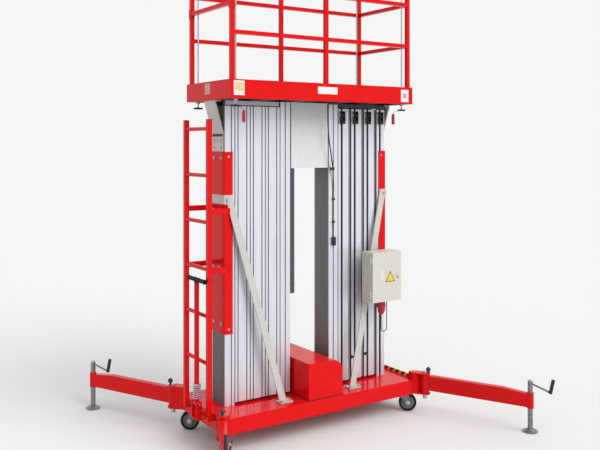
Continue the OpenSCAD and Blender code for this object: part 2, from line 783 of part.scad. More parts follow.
// Screw post with its foot and its crank, turned about the post by crank_turn
module jack(crank_turn) color("silver") along_arm() translate([arm_l, 0, 0]) {
    cylinder(r = foot_r, h = 8);
    translate([0, 0, 8]) cylinder(r1 = foot_r - 4, r2 = post_r + 6, h = 14);
    translate([0, 0, 20]) cylinder(r = post_r, h = post_top - 20);
    rotate([0, 0, crank_turn]) translate([0, 0, post_top - 11]) rotate([0, crank_dip, 0]) {
        rotate([0, 90, 0]) cylinder(r = crank_r, h = crank_l);
        translate([crank_l, 0, -crank_r]) cylinder(r = grip_r, h = grip_l);
    }
}

module outrigger_arm_fr() at_corner(1, -1) outrigger_arm();
module outrigger_arm_fl() at_corner(-1, -1) outrigger_arm();
module outrigger_arm_br() at_corner(1, 1) outrigger_arm();
module outrigger_arm_bl() at_corner(-1, 1) outrigger_arm();
module jack_fr() at_corner(1, -1) jack(crank_out);
module jack_fl() at_corner(-1, -1) jack(crank_in);
module jack_br() at_corner(1, 1) jack(crank_out);
module jack_bl() at_corner(-1, 1) jack(crank_in);

// A caster, made for the front right corner, trailing towards the corner
module at_caster() {
    translate([swivel_x, -swivel_y, 0]) rotate([0, 0, trail_angle]) children();
}

module caster_fork() color("silver") at_caster() {
    race_top = pad_top - pad_t - seat;
    cylinder_low = race_top - race_h;
    cheek_y = wheel_w / 2 + 4;
    translate([0, 0, cylinder_low]) cylinder(r = 30, h = race_h);
    translate([0, 0, race_top - 1]) cylinder(r = king_r, h = pad_t + 8);
    box_from([-22, -cheek_y - fork_t, wheel_d + 8], [44, cheek_y + fork_t, cylinder_low]);
    for (s = [-1, 1]) translate([0, s * (cheek_y + fork_t / 2), 0]) rotate([90, 0, 0])
        linear_extrude(fork_t, center = true) {
            polygon([[-22, wheel_d + 10], [-22, wheel_d - 5], [trail - 14, wheel_r], [trail, wheel_r - 14],
                [trail + 14, wheel_r], [44, wheel_d + 10]]);
            translate([trail, wheel_r]) circle(r = 14);
        }
    translate([trail, 0, wheel_r]) rotate([90, 0, 0]) cylinder(r = axle_r, h = 2 * (cheek_y + fork_t + 3), center = true);
}

module caster_wheel() color("black") at_caster() translate([trail, 0, wheel_r]) rotate([90, 0, 0])
    rotate_extrude($fn = 96) polygon([
        [axle_r + pin_play, -wheel_w / 2], [22, -wheel_w / 2], [22, -wheel_w / 2 + 6], [wheel_r - 16, -wheel_w / 2 + 6],
        [wheel_r - 14, -wheel_w / 2], [wheel_r - 4, -wheel_w / 2], [wheel_r, -wheel_w / 2 + 5],
        [wheel_r, wheel_w / 2 - 5], [wheel_r - 4, wheel_w / 2], [wheel_r - 14, wheel_w / 2],
        [wheel_r - 16, wheel_w / 2 - 6], [22, wheel_w / 2 - 6], [22, wheel_w / 2], [axle_r + pin_play, wheel_w / 2]
    ]);

module caster_fork_fr() at_corner(1, -1) caster_fork();
module caster_fork_fl() at_corner(-1, -1) caster_fork();
module caster_fork_br() at_corner(1, 1) caster_fork();
module caster_fork_bl() at_corner(-1, 1) caster_fork();
module caster_wheel_fr() at_corner(1, -1) caster_wheel();
module caster_wheel_fl() at_corner(-1, -1) caster_wheel();
module caster_wheel_br() at_corner(1, 1) caster_wheel();
module caster_wheel_bl() at_corner(-1, 1) caster_wheel();

chassis();
corner_posts();
tow_bracket();
hinge_pins();
lock_knobs();
power_unit();
power_unit_cover();
mast_right_1();
mast_right_2();
mast_right_3();
mast_right_4();
mast_right_5();
mast_left_1();
mast_left_2();
mast_left_3();
mast_left_4();
mast_left_5();
chain_right_1();
chain_right_2();
chain_right_3();
chain_right_4();
chain_left_1();
chain_left_2();
chain_left_3();
chain_left_4();
mast_channels();
mast_stays();
deck_rests();
control_box();
control_box_door();
ladder_rails();
ladder_rungs();
tow_handle();
deck_band();
deck_floor();
guard_posts();
guard_rails();
entrance_bar();
lock_rods();
carriage_cover();
carriage_track();
platform_controls();
control_cable();
outrigger_arm_fl();
outrigger_arm_fr();
outrigger_arm_bl();
outrigger_arm_br();
jack_fl();
jack_fr();
jack_bl();
jack_br();
caster_fork_fl();
caster_fork_fr();
caster_fork_bl();
caster_fork_br();
caster_wheel_fl();
caster_wheel_fr();
caster_wheel_bl();
caster_wheel_br();
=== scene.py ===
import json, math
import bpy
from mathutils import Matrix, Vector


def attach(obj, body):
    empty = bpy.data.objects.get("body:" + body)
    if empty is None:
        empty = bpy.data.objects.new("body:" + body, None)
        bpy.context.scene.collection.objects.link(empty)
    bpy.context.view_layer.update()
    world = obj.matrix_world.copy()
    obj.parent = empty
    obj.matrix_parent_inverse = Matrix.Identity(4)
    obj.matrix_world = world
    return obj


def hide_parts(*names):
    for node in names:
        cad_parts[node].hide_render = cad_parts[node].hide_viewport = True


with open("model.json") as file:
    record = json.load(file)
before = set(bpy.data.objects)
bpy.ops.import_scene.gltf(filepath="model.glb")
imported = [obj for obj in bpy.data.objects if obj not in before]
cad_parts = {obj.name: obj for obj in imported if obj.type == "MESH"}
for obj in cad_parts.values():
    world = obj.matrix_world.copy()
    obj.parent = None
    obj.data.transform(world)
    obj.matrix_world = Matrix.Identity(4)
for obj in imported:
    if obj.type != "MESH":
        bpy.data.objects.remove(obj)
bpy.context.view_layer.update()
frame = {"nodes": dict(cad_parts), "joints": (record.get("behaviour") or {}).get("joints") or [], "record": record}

# %% [markdown]
# # A push-around lift with two telescoping masts
# The exact solids of the lift are already loaded. This lesson dresses them: it gives every
# solid a finish, adds the small parts that make the machine believable, then sets the floor,
# the light and the camera. Lengths are in metres, +Z is up and -Y is the side seen first.

CORNERS = {"fl": (-1, -1), "fr": (1, -1), "bl": (-1, 1), "br": (1, 1)}
SIDES = {"right": 1, "left": -1}

# %% [markdown]
# ## The camera first
# The camera stands where the photographer stood: a little left of the machine, at chest height,
# looking level. A level camera with a small vertical shift keeps the masts upright in the picture.

# %%
# The camera stands where the photographer stood
eye = bpy.data.cameras.new("camera")
eye.lens, eye.sensor_width, eye.shift_y = 48.0, 36.0, -0.137
camera = bpy.data.objects.new("camera", eye)
camera.location = (-2.916, -4.426, 1.833)
camera.rotation_euler = (math.radians(90), 0, math.radians(-33.2))
bpy.context.scene.collection.objects.link(camera)
bpy.context.scene.camera = camera
bpy.context.scene.view_settings.view_transform = "Standard"
print("camera", (camera.location - Vector((0, 0, 1.2))).length, "m away")

# %% [markdown]
# ## Finishes
# A real surface is never one flat colour. Each finish below starts from two near tones mixed by
# noise, lets the gloss wander the same way, and raises a very fine bump. A mask can split one
# solid into two finishes, which saves adding a second shell over the first.

# %%
# A finish from two tones, a gloss range and an optional second finish behind a mask
def surface(name, tones, rough, metal=0.0, grain=30.0, stretch=(1, 1, 1), bump=0.08, second=None, mask=None,
            coat=0.0, glow=0.5):
    m = bpy.data.materials.new(name)
    m.use_nodes = True
    t = m.node_tree
    shader = t.nodes["Principled BSDF"]
    shader.inputs["Metallic"].default_value = metal
    shader.inputs["Coat Weight"].default_value = coat
    shader.inputs["Coat Roughness"].default_value = 0.06
    shader.inputs["Specular IOR Level"].default_value = glow
    place = t.nodes.new("ShaderNodeTexCoord")
    fit = t.nodes.new("ShaderNodeMapping")
    fit.inputs["Scale"].default_value = stretch
    t.links.new(place.outputs["Object"], fit.inputs["Vector"])
    noise = t.nodes.new("ShaderNodeTexNoise")
    noise.inputs["Scale"].default_value = grain
    noise.inputs["Detail"].default_value = 4.0
    t.links.new(fit.outputs["Vector"], noise.inputs["Vector"])

    def ramp(pair):
        r = t.nodes.new("ShaderNodeValToRGB")
        r.color_ramp.elements[0].position = 0.3
        r.color_ramp.elements[1].position = 0.7
        r.color_ramp.elements[0].color = (*pair[0], 1)
        r.color_ramp.elements[1].color = (*pair[1], 1)
        t.links.new(noise.outputs["Fac"], r.inputs["Fac"])
        return r.outputs["Color"]

    def spread(low, high):
        r = t.nodes.new("ShaderNodeMapRange")
        r.inputs["To Min"].default_value = low
        r.inputs["To Max"].default_value = high
        t.links.new(noise.outputs["Fac"], r.inputs["Value"])
        return r.outputs["Result"]

    color, gloss = ramp(tones), spread(*rough)
    if second:
        factor = mask(t, place.outputs["Object"])
        mix = t.nodes.new("ShaderNodeMix")
        mix.data_type = "RGBA"
        t.links.new(factor, mix.inputs["Factor"])
        t.links.new(color, mix.inputs["A"])
        t.links.new(ramp(second["tones"]), mix.inputs["B"])
        color = [s for s in mix.outputs if s.type == "RGBA"][0]
        blend = t.nodes.new("ShaderNodeMix")
        t.links.new(factor, blend.inputs["Factor"])
        t.links.new(gloss, blend.inputs["A"])
        t.links.new(spread(*second["rough"]), blend.inputs["B"])
        gloss = blend.outputs["Result"]
        shine = t.nodes.new("ShaderNodeMapRange")
        shine.inputs["To Min"].default_value = metal
        shine.inputs["To Max"].default_value = second.get("metal", 0.0)
        t.links.new(factor, shine.inputs["Value"])
        t.links.new(shine.outputs["Result"], shader.inputs["Metallic"])
    t.links.new(color, shader.inputs["Base Color"])
    t.links.new(gloss, shader.inputs["Roughness"])
    relief = t.nodes.new("ShaderNodeBump")
    relief.inputs["Strength"].default_value = bump
    relief.inputs["Distance"].default_value = 0.001
    t.links.new(noise.outputs["Fac"], relief.inputs["Height"])
    t.links.new(relief.outputs["Normal"], shader.inputs["Normal"])
    return m


# Small arithmetic steps used by the masks
def number(t, operation, a, b=None):
    n = t.nodes.new("ShaderNodeMath")
    n.operation = operation
    for i, v in enumerate([a, b]):
        if v is None:
            continue
        if isinstance(v, (int, float)):
            n.inputs[i].default_value = v
        else:
            t.links.new(v, n.inputs[i])
    return n.outputs["Value"]


def parts_of(t, vector):
    n = t.nodes.new("ShaderNodeSeparateXYZ")
    t.links.new(vector, n.inputs["Vector"])
    return [n.outputs["X"], n.outputs["Y"], n.outputs["Z"]]


# Masks: beyond a distance from a line, above or below a level, and in bands
def beyond(point, direction, radius):
    def build(t, place):
        away = t.nodes.new("ShaderNodeVectorMath")
        away.operation = "SUBTRACT"
        away.inputs[1].default_value = point
        t.links.new(place, away.inputs[0])
        turn = t.nodes.new("ShaderNodeVectorMath")
        turn.operation = "CROSS_PRODUCT"
        turn.inputs[1].default_value = direction
        t.links.new(away.outputs["Vector"], turn.inputs[0])
        reach = t.nodes.new("ShaderNodeVectorMath")
        reach.operation = "LENGTH"
        t.links.new(turn.outputs["Vector"], reach.inputs[0])
        return number(t, "GREATER_THAN", reach.outputs["Value"], radius)
    return build


def level(axis, value, above=True):
    def build(t, place):
        return number(t, "GREATER_THAN" if above else "LESS_THAN", parts_of(t, place)[axis], value)
    return build


# How far a point lies behind the front or back face of a mast, from 0 to 1; this paints shade and dark reflection into
# the grooves, seams and side faces
def painted_recess_shade(face, depth):
    def build(t, place):
        behind = number(t, "SUBTRACT", face, number(t, "ABSOLUTE", parts_of(t, place)[1]))
        return number(t, "MAXIMUM", number(t, "MINIMUM", number(t, "DIVIDE", behind, depth), 1.0), 0.0)
    return build


def bands(weights, pitch, share=0.5):
    def build(t, place):
        total = None
        for part, w in zip(parts_of(t, place), weights):
            if w:
                step = number(t, "MULTIPLY", part, w)
                total = step if total is None else number(t, "ADD", total, step)
        return number(t, "LESS_THAN", number(t, "FRACT", number(t, "DIVIDE", total, pitch)), share)
    return build


print("finish maker ready")

# %% [markdown]
# ## The palette
# Gloss red enamel on the frame, a warm grey-white on the brackets, anodised aluminium brushed
# along the masts, bright zinc on the screws and forks, and black for rubber and grips.

# %%
# The machine's finishes
RED = ((0.57, 0.003, 0.004), (0.62, 0.004, 0.005))
CREAM = ((0.500, 0.490, 0.445), (0.520, 0.510, 0.465))
PALE = ((0.440, 0.435, 0.405), (0.470, 0.465, 0.435))
GREY = ((0.555, 0.555, 0.555), (0.585, 0.585, 0.585))
ALU = ((0.595, 0.600, 0.665), (0.685, 0.690, 0.755))
ZINC = ((0.42, 0.42, 0.43), (0.60, 0.60, 0.61))
BLACK = ((0.006, 0.006, 0.007), (0.013, 0.013, 0.014))
DARK = ((0.035, 0.036, 0.038), (0.06, 0.06, 0.065))
YELLOW = ((0.66, 0.44, 0.015), (0.72, 0.50, 0.02))
black_part = {"tones": BLACK, "rough": (0.45, 0.65)}
red = surface("red_enamel", RED, (0.12, 0.18), grain=9, bump=0.02, glow=0.14)
cream = surface("warm_white_enamel", CREAM, (0.38, 0.46), grain=40, bump=0.05)
pale = surface("pale_bracket_enamel", PALE, (0.38, 0.46), grain=40, bump=0.05)
grey = surface("light_grey_enamel", GREY, (0.38, 0.46), grain=40, bump=0.05)
# The masts' dark second finish is painted shade and painted dark reflection on everything behind the front face
alu = surface("anodised_mast_and_painted_shade", ALU, (0.30, 0.42), metal=0.5, grain=9, stretch=(14, 14, 0.35), bump=0.08,
              second={"tones": ((0.11, 0.11, 0.115), (0.18, 0.18, 0.185)), "rough": (0.5, 0.65), "metal": 0.3},
              mask=painted_recess_shade(0.0855, 0.011))
zinc = surface("bright_zinc", ZINC, (0.25, 0.42), metal=0.9, grain=60, bump=0.10)
fork_zinc = surface("dull_zinc", ((0.13, 0.13, 0.135), (0.24, 0.24, 0.245)), (0.35, 0.5), metal=0.8, grain=60, bump=0.10)
black = surface("black_moulding", BLACK, (0.35, 0.55), grain=50, bump=0.15)
knob_black = surface("polished_black_ball", BLACK, (0.08, 0.16), grain=20, bump=0.02)
rubber = surface("cable_rubber", BLACK, (0.55, 0.75), grain=70, bump=0.15)
dark = surface("dark_paint_and_painted_shade", DARK, (0.55, 0.75), grain=60, bump=0.3)
yellow = surface("yellow_moulding", YELLOW, (0.40, 0.55), grain=40, bump=0.08)
plate = surface("blank_plate", ((0.64, 0.64, 0.65), (0.68, 0.68, 0.69)), (0.3, 0.4), grain=30, bump=0.03)
amber = surface("amber_panel", ((0.70, 0.44, 0.16), (0.74, 0.48, 0.20)), (0.3, 0.4), grain=30, bump=0.03)
rose = surface("rose_panel", ((0.50, 0.22, 0.22), (0.55, 0.25, 0.25)), (0.3, 0.4), grain=30, bump=0.03)
green = surface("green_button", ((0.01, 0.22, 0.05), (0.02, 0.28, 0.07)), (0.2, 0.35), grain=30, bump=0.03)
red_plastic = surface("red_plastic", ((0.33, 0.006, 0.016), (0.38, 0.010, 0.022)), (0.3, 0.45), grain=35, bump=0.06)
chain_mat = surface("oiled_chain", ((0.015, 0.015, 0.016), (0.03, 0.03, 0.032)), (0.3, 0.5), metal=0.6, grain=90,
                    bump=0.2)
link_steel = surface("worn_link_steel", ((0.018, 0.018, 0.019), (0.045, 0.045, 0.047)), (0.25, 0.4), metal=0.8,
                     grain=120, bump=0.1)
hazard = surface("hazard_tape", ((0.66, 0.50, 0.02), (0.70, 0.54, 0.02)), (0.35, 0.5), grain=40, bump=0.05,
                 second=black_part, mask=bands((0, 1, 1), 0.06, 0.5))
print(len(bpy.data.materials), "finishes")

# %%
# Each solid gets its finish
def dress(material, *names):
    for n in names:
        o = frame["nodes"][n]
        o.data.materials.clear()
        o.data.materials.append(material)


dress(red, "chassis", "corner_posts", "tow_bracket", "power_unit_cover", "mast_channels", "ladder_rails",
      "ladder_rungs", "deck_band", "guard_posts", "guard_rails", "entrance_bar",
      *["outrigger_arm_" + c for c in CORNERS])
dress(cream, "control_box", "control_box_door")
dress(pale, "mast_stays", "deck_rests")
dress(grey, "carriage_cover")
dress(alu, *[f"mast_{s}_{k}" for s in SIDES for k in range(1, 6)])
dress(chain_mat, *[f"chain_{s}_{k}" for s in SIDES for k in range(1, 5)])
dress(zinc, "hinge_pins")
dress(fork_zinc, *["caster_fork_" + c for c in CORNERS])
dress(knob_black, "lock_knobs")
dress(dark, "power_unit", "deck_floor", "carriage_track")
dress(yellow, "platform_controls")

# %% [markdown]
# ## Two finishes on one solid
# The wheel is one solid, yet its tread is black and its hub grey: the mask looks at the distance
# from the axle. The same idea blackens the crank grips, the cross grip of the tow handle and the
# wing handles under the platform.

# %%
# Wheels, jacks, tow handle and locking rods
wheel_axles, posts = {}, {}
for joint in frame["joints"]:
    if joint["name"].startswith("caster_roll_"):
        wheel_axles[joint["name"][-2:]] = (Vector(joint["pos_m"]), Vector(joint["axis"]).normalized())
for mount in frame["record"]["mounts"]:
    if mount["name"].startswith("jack_foot_"):
        posts[mount["name"][-2:]] = Vector(mount["pos_m"])
for c in CORNERS:
    axle, way = wheel_axles[c]
    dress(surface("wheel_" + c, ((0.13, 0.13, 0.135), (0.18, 0.18, 0.185)), (0.4, 0.55), grain=50, second=black_part,
                  mask=beyond(axle, way, 0.044), glow=0.2), "caster_wheel_" + c)
    dress(surface("jack_finish_" + c, ((0.17, 0.17, 0.175), (0.30, 0.30, 0.305)), (0.3, 0.45), metal=0.85, grain=60,
                  bump=0.1, second=black_part,
                  mask=beyond(posts[c], (0, 0, 1), 0.124)), "jack_" + c)
dress(surface("tow_handle_finish", RED, (0.12, 0.18), grain=9, bump=0.02, glow=0.14, second=black_part,
              mask=level(2, 0.993)), "tow_handle")
dress(surface("rod_finish", ZINC, (0.25, 0.42), metal=0.9, grain=60, second=black_part,
              mask=level(2, 2.066, above=False)), "lock_rods")
print("wheels at", [[round(v, 3) for v in wheel_axles[c][0]] for c in CORNERS])

# %% [markdown]
# ## Makers for the small parts
# Three plain makers cover nearly everything that is bolted on: a box with softened edges, a round
# bar between two points, and a batch of hexagon bolts that share one mesh.

# %%
# Boxes, round bars, swept tubes and bolt batches
def keep(name, verts, faces, body, material, soften=0.0, smooth=False):
    mesh = bpy.data.meshes.new(name)
    mesh.from_pydata([tuple(v) for v in verts], [], faces)
    mesh.validate()
    mesh.update()
    if smooth:
        mesh.polygons.foreach_set("use_smooth", [True] * len(mesh.polygons))
    o = bpy.data.objects.new(name, mesh)
    bpy.context.scene.collection.objects.link(o)
    mesh.materials.append(material)
    if soften:
        b = o.modifiers.new("soften", "BEVEL")
        b.width = soften
        b.segments = 2
        b.limit_method = "ANGLE"
    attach(o, body)
    return o


def box_shape(low, high):
    v = [Vector((x, y, z)) for x in (low[0], high[0]) for y in (low[1], high[1]) for z in (low[2], high[2])]
    return v, [(0, 1, 3, 2), (4, 6, 7, 5), (0, 4, 5, 1), (2, 3, 7, 6), (0, 2, 6, 4), (1, 5, 7, 3)]


def boxes(name, spans, body, material, soften=0.001):
    verts, faces = [], []
    for low, high in spans:
        v, f = box_shape([min(a, b) for a, b in zip(low, high)], [max(a, b) for a, b in zip(low, high)])
        faces += [tuple(i + len(verts) for i in q) for q in f]
        verts += v
    return keep(name, verts, faces, body, material, soften)


def ring_at(centre, way, radius, count, start=0.0):
    way = way.normalized()
    side = way.cross(Vector((0, 0, 1)) if abs(way.z) < 0.9 else Vector((1, 0, 0))).normalized()
    up = way.cross(side)
    return [centre + radius * (math.cos(start + 2 * math.pi * i / count) * side
                               + math.sin(start + 2 * math.pi * i / count) * up) for i in range(count)]


def lathe(name, items, body, material, count=24, smooth=False, soften=0.0):
    verts, faces = [], []
    for profile in items:
        base = len(verts)
        for centre, way, radius in profile:
            verts += ring_at(Vector(centre), Vector(way), radius, count)
        n = len(profile)
        for k in range(n - 1):
            for i in range(count):
                j = (i + 1) % count
                a = base + k * count
                faces.append((a + i, a + j, a + count + j, a + count + i))
        faces.append(tuple(base + i for i in reversed(range(count))))
        faces.append(tuple(base + (n - 1) * count + i for i in range(count)))
    return keep(name, verts, faces, body, material, soften, smooth)


# A profile of (distance along, radius) pairs turned about a line
def turned(start, way, steps):
    start, way = Vector(start), Vector(way)
    return [(start + way * along, way, radius) for along, radius in steps]


def curve_through(points, per=8):
    pts, fine = [Vector(p) for p in points], []
    for i in range(len(pts) - 1):
        a, b = pts[max(i - 1, 0)], pts[min(i + 2, len(pts) - 1)]
        for k in range(per):
            t = k / per
            fine.append(0.5 * ((2 * pts[i]) + (pts[i + 1] - a) * t + (2 * a - 5 * pts[i] + 4 * pts[i + 1] - b) * t * t
                               + (3 * pts[i] - a - 3 * pts[i + 1] + b) * t ** 3))
    return fine + [pts[-1]]


def swept(name, fine, radius, body, material, count=12):
    verts, faces, side = [], [], None
    for i, p in enumerate(fine):
        way = (fine[min(i + 1, len(fine) - 1)] - fine[max(i - 1, 0)]).normalized()
        side = way.orthogonal().normalized() if side is None else (side - way * side.dot(way)).normalized()
        up = way.cross(side)
        verts += [p + radius * (math.cos(2 * math.pi * k / count) * side + math.sin(2 * math.pi * k / count) * up)
                  for k in range(count)]
    for i in range(len(fine) - 1):
        for k in range(count):
            j = (k + 1) % count
            faces.append((i * count + k, i * count + j, (i + 1) * count + j, (i + 1) * count + k))
    faces.append(tuple(reversed(range(count))))
    faces.append(tuple((len(fine) - 1) * count + k for k in range(count)))
    return keep(name, verts, faces, body, material, smooth=True)


def length_of(fine):
    return sum((b - a).length for a, b in zip(fine, fine[1:]))


def bolts(name, places, across, body, material):
    washers = [turned(p, w, [(0, across * 0.85), (across * 0.12, across * 0.85)]) for p, w in places]
    heads = [turned(p, w, [(across * 0.12, across * 0.56), (across * 0.52, across * 0.56),
                           (across * 0.60, across * 0.44)]) for p, w in places]
    lathe(name + "_washers", washers, body, material, 20)
    return lathe(name, heads, body, material, 6)


def screws(name, places, radius, body, material):
    return lathe(name, [turned(p, w, [(0, radius), (radius * 0.35, radius), (radius * 0.6, radius * 0.6)])
                        for p, w in places], body, material, 16)


print("makers ready")

# %% [markdown]
# ## Cables
# A cable keeps one length and never bends tighter than about four times its own thickness. The
# long one leaves the platform, hangs in a lazy curve and is clipped down the last section of the
# right mast. The short one leaves a gland under the control box, loops and ends in a red plug.

# %%
# The control cable, its clips and its socket
run = curve_through([
    (0.100, -0.150, 2.088), (0.100, -0.150, 2.050), (0.101, -0.149, 1.990), (0.106, -0.146, 1.920),
    (0.118, -0.139, 1.850), (0.136, -0.129, 1.785), (0.155, -0.117, 1.720), (0.172, -0.105, 1.660),
    (0.182, -0.096, 1.600), (0.186, -0.0915, 1.540), (0.186, -0.0903, 1.480), (0.186, -0.0903, 1.420),
    (0.186, -0.0903, 1.370), (0.186, -0.0903, 1.200)])
cable = swept("control_cable_run", run, 0.004, "right_stage_5", rubber)
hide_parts("control_cable")
boxes("cable_clips", [((0.162, -0.112, 1.652), (0.182, -0.086, 1.670)), ((0.178, -0.0965, 1.452), (0.197, -0.086, 1.466)),
                      ((0.178, -0.0965, 1.300), (0.197, -0.086, 1.314))], "right_stage_5", black, 0.0015)
boxes("cable_socket", [((0.174, -0.104, 1.150), (0.200, -0.086, 1.206))], "right_stage_5", black, 0.003)
print("control cable", round(length_of(run), 3), "m")

# %%
# The short loop under the control box and its red plug
PLUG = (0.505, -0.200, 0.774)
BEND = 0.024
plug = lathe("mains_plug", [turned(PLUG, (0, 0, -1), [(0, 0.020), (0.012, 0.020), (0.014, 0.028), (0.050, 0.031),
                                                 (0.056, 0.024), (0.088, 0.020), (0.100, 0.009)])],
      "chassis", red_plastic, 32, smooth=False, soften=0.0008)
loop = [(PLUG[0], PLUG[1], z) for z in (0.676, 0.650, 0.625, 0.600)]
loop += [(PLUG[0] + BEND - BEND * math.cos(a), PLUG[1], 0.580 - BEND * math.sin(a))
         for a in [math.pi * i / 8 for i in range(9)]]
loop += [(PLUG[0] + 2 * BEND, PLUG[1], z) for z in (0.600, 0.625, 0.660, 0.700, 0.740, 0.768)]
loop = curve_through(loop[::-1], 4)
lead = swept("mains_lead", loop, 0.003, "chassis", rubber)
lathe("cable_glands", [turned((x, -0.200, 0.774), (0, 0, -1), [(0, 0.011), (0.006, 0.011), (0.007, 0.009), (0.016, 0.007)])
                       for x in (PLUG[0] + 2 * BEND, 0.580, 0.430)], "chassis", black, 20)
print("mains loop", round(length_of(loop), 3), "m")

# %% [markdown]
# ## Masts
# Each section lifts the next one by a leaf chain. A leaf chain is only plates and pins, so a plate
# is a thin box, a pin a six-sided bar, and a loop lays them up the groove. The sections are open
# tubes, so a black cap closes each top, short of the groove where the next section slides.

# %%
# Chain plates and pins, and the nuts of the sheaves
EDGES = [0.627, 0.555, 0.446, 0.337, 0.228, 0.150]
HALF_GAP = 0.003
CHAIN_IN = 0.028
PITCH = 0.0127
FACE = -0.086


def stage_of(side, k):
    if k == 1:
        return "chassis"
    return f"{side}_stage_{k}" if k < 5 or side == "right" else "platform"


for side, turn in SIDES.items():
    for k in range(1, 5):
        x = EDGES[k] + HALF_GAP + CHAIN_IN
        low = 0.286 if k == 1 else 0.301
        plates, pins = [], []
        for i in range(int((1.950 - low) / PITCH)):
            z = low + i * PITCH
            for s in (-1, 1):
                offset = s * (0.0048 if i % 2 else 0.0031)
                plates.append(((turn * (x + offset - 0.0006), turn * -0.0778, z - 0.0064),
                               (turn * (x + offset + 0.0006), turn * -0.0748, z + 0.0064)))
            pins.append(turned((turn * (x - 0.0058), turn * -0.0770, z + PITCH / 2), (turn, 0, 0),
                               [(0, 0.0016), (0.0116, 0.0016)]))
        boxes(f"chain_plates_{side}_{k}", plates, stage_of(side, k), link_steel, 0)
        lathe(f"chain_pins_{side}_{k}", pins, stage_of(side, k), link_steel, 6)
        bolts(f"sheave_nuts_{side}_{k}", [((turn * (x + s * 0.0155), turn * -0.090, 2.020), (turn * s, 0, 0))
                                          for s in (-1, 1)], 0.008, stage_of(side, k), zinc)

# %%
# Small dark clamps low on the right mast
for k, x, z in ((2, 0.456, 0.391), (3, 0.346, 0.385)):
    boxes(f"chain_clamp_{k}", [((x - 0.008, -0.094, z - 0.009), (x + 0.008, -0.083, z + 0.009))],
          f"right_stage_{k}", black, 0.0015)

# %%
# Caps on the sections
for side, turn in SIDES.items():
    for k in range(1, 5):
        boxes(f"mast_cap_{side}_{k}", [((turn * (EDGES[k] + HALF_GAP + 0.012), turn * -0.064, 2.0600),
                                        (turn * (EDGES[k - 1] - HALF_GAP - 0.001), turn * 0.076, 2.0625))],
              stage_of(side, k), black, 0.0006)

# %% [markdown]
# ## Chassis
# The edge beside the control box is marked with yellow and black tape, because people step there.
# Bolts go where a fitter could reach them with a spanner, and never over a hole that stays open.

# %%
# Hazard tape on the upturned lip, bolts on pads, channels and stays
end_x, lip_z = 0.7385, 0.240
boxes("lip_tape", [((end_x, -0.25, 0.222), (end_x + 0.0006, 0.25, 0.2385)),
                   ((end_x - 0.0056, -0.25, 0.2205), (end_x - 0.005, 0.25, 0.2385)),
                   ((end_x - 0.0052, -0.25, lip_z), (end_x, 0.25, lip_z + 0.0005))], "chassis", hazard, 0)
bolts("stay_bolts", [((sx * (0.27 + dx), sy * 0.218, 0.228), (0, 0, 1))
                     for sx in (-1, 1) for sy in (-1, 1) for dx in (-0.037, 0.030)], 0.014, "chassis", zinc)
bolts("channel_bolts", [((sx * 0.629, y, z), (sx, 0, 0)) for sx in (-1, 1) for y in (-0.05, 0.05)
                        for z in (0.72, 1.74)], 0.013, "chassis", zinc)
bolts("strap_bolts", [((sx * 0.612, sy * 0.101, 1.485), (0, sy, 0)) for sx in (-1, 1) for sy in (-1, 1)],
      0.013, "chassis", zinc)
bolts("ladder_bolts", [((-0.637, y, z), (-1, 0, 0)) for y in (-0.11, -0.04, 0.04, 0.11) for z in (1.069, 1.422)],
      0.012, "chassis", zinc)

# %%
# The rests of the platform: a dark pad, a lower plate and its bolts
boxes("rest_pads", [((sx * 0.630, -0.066, 1.872), (sx * 0.6320, 0.066, 1.888)) for sx in (-1, 1)], "chassis", black, 0.0005)
boxes("rest_plates", [((sx * 0.624, -0.070, 1.7795), (sx * 0.6300, 0.070, 1.8300)) for sx in (-1, 1)], "chassis", cream)
bolts("rest_bolts", [((sx * 0.630, y, z), (sx, 0, 0)) for sx in (-1, 1) for y in (-0.045, 0.045) for z in (1.805, 1.850)],
      0.012, "chassis", zinc)

# %%
# Screws and a rubber edge round the power unit's cover
COVER = (-0.135, 0.125)
FRONT = 0.280
screws("cover_screws", [((x, s * FRONT, z), (0, s, 0)) for s in (-1, 1) for x, z in
                        ((-0.120, 0.236), (0.110, 0.236), (-0.120, 0.434), (0.035, 0.434))], 0.0045, "chassis", red)
boxes("cover_edge", [((COVER[0] - 0.002, s * FRONT, 0.2202), (COVER[1] + 0.002, s * (FRONT + 0.002), 0.2245)) for s in (-1, 1)]
      + [((x, -FRONT, 0.2202), (x + d, FRONT, 0.2245)) for x, d in ((COVER[0] - 0.002, 0.002), (COVER[1], 0.002))],
      "chassis", black, 0.0005)

# %% [markdown]
# ## Casters, jacks and tow handle
# The web of each wheel has shallow ribs, and its axle ends in a nut outside each cheek. The coil
# at the foot of the tow handle holds it upright, so its wire is a helix swept by a small circle.

# %%
# Wheel ribs, axle nuts and the seal of the swivel
SWIVEL = {c: (sx * 0.665, sy * 0.218) for c, (sx, sy) in CORNERS.items()}
for c in CORNERS:
    axle, way = wheel_axles[c]
    flat = Vector((way.y, -way.x, 0)).normalized()
    verts, faces = [], []
    for i in range(8):
        a = 2 * math.pi * i / 8
        out = flat * math.cos(a) + Vector((0, 0, 1)) * math.sin(a)
        across = way.cross(out)
        for s in (-1, 1):
            base = len(verts)
            for r in (0.0215, 0.0445):
                for w in (-0.0018, 0.0018):
                    for d in (0.0095, 0.0130):
                        verts.append(axle + out * r + across * w + way * s * d)
            faces += [tuple(base + j for j in q) for q in
                      [(0, 1, 3, 2), (4, 6, 7, 5), (0, 4, 5, 1), (2, 3, 7, 6), (0, 2, 6, 4), (1, 5, 7, 3)]]
    keep("wheel_ribs_" + c, verts, faces, "caster_wheel_" + c,
         bpy.data.materials["wheel_" + c], 0.0005)
    bolts("axle_nuts_" + c, [(axle + way * s * 0.0252, way * s) for s in (-1, 1)], 0.017, "caster_fork_" + c, zinc)
    x, y = SWIVEL[c]
    lathe("swivel_seal_" + c, [turned((x, y, 0.1520), (0, 0, 1), [(0, 0.0304), (0.001, 0.0312), (0.004, 0.0312),
                                                                  (0.005, 0.0304)])], "caster_fork_" + c, black, 32)

